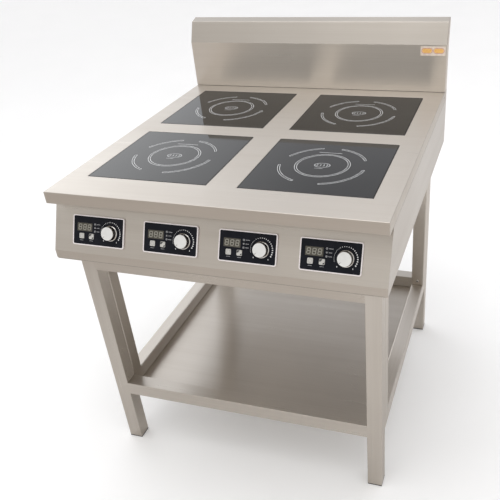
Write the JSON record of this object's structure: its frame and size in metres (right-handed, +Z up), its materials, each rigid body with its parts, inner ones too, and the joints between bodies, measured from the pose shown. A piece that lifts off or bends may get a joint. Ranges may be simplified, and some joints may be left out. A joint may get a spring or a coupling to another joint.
{
  "type": "commercial induction hob",
  "caption": "Floor-standing commercial induction hob: flush black glass zones in a brushed steel worktop with backsplash, sloping control fascia, open tube stand and shelf.",
  "frame": {"origin": "on the floor, under the middle of the bounding box", "axes": "+Z up, -Y towards the user (control fascia), +X to the user's right"},
  "size_m": [0.8, 0.89, 1.0055],
  "materials": {
    "brushed_steel": "fine brushed stainless steel, warm grey",
    "ceramic_glass": "polished black glass-ceramic with light grey printed rings",
    "silicone": "matt dark silicone bead",
    "copper_winding": "enamelled copper litz wire winding",
    "coil_carrier": "off-white heat resistant plastic with ferrite bars",
    "module_aluminium": "cast and pressed aluminium with a circuit board",
    "fan_plastic": "black moulded plastic",
    "control_gloss": "gloss black plate with a bright rim",
    "button_plastic": "light grey satin plastic",
    "knob_metal": "satin silver cap with a polished skirt",
    "foot_plastic": "dark moulded plastic",
    "badge_enamel": "cream and orange printed plate",
    "gland_plastic": "black nylon",
    "terminal_plastic": "off-white moulded plastic"
  },
  "bodies": {
    "hob": {"worktop": "brushed_steel", "front_panel": "brushed_steel", "side_panel_left": "brushed_steel", "side_panel_right": "brushed_steel", "rear_panel": "brushed_steel", "bottom_tray": "brushed_steel", "backsplash": "brushed_steel", "front_frame": "brushed_steel", "rear_frame": "brushed_steel", "side_frame_left": "brushed_steel", "side_frame_right": "brushed_steel", "shelf": "brushed_steel", "glass_front_left": "ceramic_glass", "glass_seal_front_left": "silicone", "coil_front_left": "copper_winding", "coil_carrier_front_left": "coil_carrier", "power_module_front_left": "module_aluminium", "glass_front_right": "ceramic_glass", "glass_seal_front_right": "silicone", "coil_front_right": "copper_winding", "coil_carrier_front_right": "coil_carrier", "power_module_front_right": "module_aluminium", "glass_rear_left": "ceramic_glass", "glass_seal_rear_left": "silicone", "coil_rear_left": "copper_winding", "coil_carrier_rear_left": "coil_carrier", "power_module_rear_left": "module_aluminium", "glass_rear_right": "ceramic_glass", "glass_seal_rear_right": "silicone", "coil_rear_right": "copper_winding", "coil_carrier_rear_right": "coil_carrier", "power_module_rear_right": "module_aluminium", "control_panel_1": "control_gloss", "control_panel_2": "control_gloss", "control_panel_3": "control_gloss", "control_panel_4": "control_gloss", "foot_cap_front_left": "foot_plastic", "foot_cap_front_right": "foot_plastic", "foot_cap_rear_left": "foot_plastic", "foot_cap_rear_right": "foot_plastic", "badge_plate": "badge_enamel", "cable_gland": "gland_plastic", "terminal_block": "terminal_plastic"},
    "knob_1": {"knob_1": "knob_metal"},
    "button_left_1": {"button_left_1": "button_plastic"},
    "button_right_1": {"button_right_1": "button_plastic"},
    "knob_2": {"knob_2": "knob_metal"},
    "button_left_2": {"button_left_2": "button_plastic"},
    "button_right_2": {"button_right_2": "button_plastic"},
    "knob_3": {"knob_3": "knob_metal"},
    "button_left_3": {"button_left_3": "button_plastic"},
    "button_right_3": {"button_right_3": "button_plastic"},
    "knob_4": {"knob_4": "knob_metal"},
    "button_left_4": {"button_left_4": "button_plastic"},
    "button_right_4": {"button_right_4": "button_plastic"},
    "fan_rotor_front_left": {"fan_rotor_front_left": "fan_plastic"},
    "fan_rotor_front_right": {"fan_rotor_front_right": "fan_plastic"},
    "fan_rotor_rear_left": {"fan_rotor_rear_left": "fan_plastic"},
    "fan_rotor_rear_right": {"fan_rotor_rear_right": "fan_plastic"}
  },
  "joints": [
    {"name": "knob_1_turn", "type": "hinge", "parent": "hob", "child": "knob_1", "pos_m": [-0.249, -0.42508, 0.71029], "axis": [0, 0.9003, -0.4352], "range_deg": [0, 270]},
    {"name": "button_left_1_press", "type": "slide", "parent": "hob", "child": "button_left_1", "axis": [0, 0.9003, -0.4352], "range_m": [0, 0.001], "stiffness_N_per_m": 1000, "springref_m": -0.001},
    {"name": "button_right_1_press", "type": "slide", "parent": "hob", "child": "button_right_1", "axis": [0, 0.9003, -0.4352], "range_m": [0, 0.001], "stiffness_N_per_m": 1000, "springref_m": -0.001},
    {"name": "knob_2_turn", "type": "hinge", "parent": "hob", "child": "knob_2", "pos_m": [-0.0634, -0.42508, 0.71029], "axis": [0, 0.9003, -0.4352], "range_deg": [0, 270]},
    {"name": "button_left_2_press", "type": "slide", "parent": "hob", "child": "button_left_2", "axis": [0, 0.9003, -0.4352], "range_m": [0, 0.001], "stiffness_N_per_m": 1000, "springref_m": -0.001},
    {"name": "button_right_2_press", "type": "slide", "parent": "hob", "child": "button_right_2", "axis": [0, 0.9003, -0.4352], "range_m": [0, 0.001], "stiffness_N_per_m": 1000, "springref_m": -0.001},
    {"name": "knob_3_turn", "type": "hinge", "parent": "hob", "child": "knob_3", "pos_m": [0.1222, -0.42508, 0.71029], "axis": [0, 0.9003, -0.4352], "range_deg": [0, 270]},
    {"name": "button_left_3_press", "type": "slide", "parent": "hob", "child": "button_left_3", "axis": [0, 0.9003, -0.4352], "range_m": [0, 0.001], "stiffness_N_per_m": 1000, "springref_m": -0.001},
    {"name": "button_right_3_press", "type": "slide", "parent": "hob", "child": "button_right_3", "axis": [0, 0.9003, -0.4352], "range_m": [0, 0.001], "stiffness_N_per_m": 1000, "springref_m": -0.001},
    {"name": "knob_4_turn", "type": "hinge", "parent": "hob", "child": "knob_4", "pos_m": [0.3078, -0.42508, 0.71029], "axis": [0, 0.9003, -0.4352], "range_deg": [0, 270]},
    {"name": "button_left_4_press", "type": "slide", "parent": "hob", "child": "button_left_4", "axis": [0, 0.9003, -0.4352], "range_m": [0, 0.001], "stiffness_N_per_m": 1000, "springref_m": -0.001},
    {"name": "button_right_4_press", "type": "slide", "parent": "hob", "child": "button_right_4", "axis": [0, 0.9003, -0.4352], "range_m": [0, 0.001], "stiffness_N_per_m": 1000, "springref_m": -0.001},
    {"name": "fan_front_left_spin", "type": "hinge", "parent": "hob", "child": "fan_rotor_front_left", "pos_m": [-0.2565, -0.181, 0.6455], "axis": [0, 0, 1], "continuous": true},
    {"name": "fan_front_right_spin", "type": "hinge", "parent": "hob", "child": "fan_rotor_front_right", "pos_m": [0.1265, -0.181, 0.6455], "axis": [0, 0, 1], "continuous": true},
    {"name": "fan_rear_left_spin", "type": "hinge", "parent": "hob", "child": "fan_rotor_rear_left", "pos_m": [-0.2565, 0.1835, 0.6455], "axis": [0, 0, 1], "continuous": true},
    {"name": "fan_rear_right_spin", "type": "hinge", "parent": "hob", "child": "fan_rotor_rear_right", "pos_m": [0.1265, 0.1835, 0.6455], "axis": [0, 0, 1], "continuous": true}
  ]
}
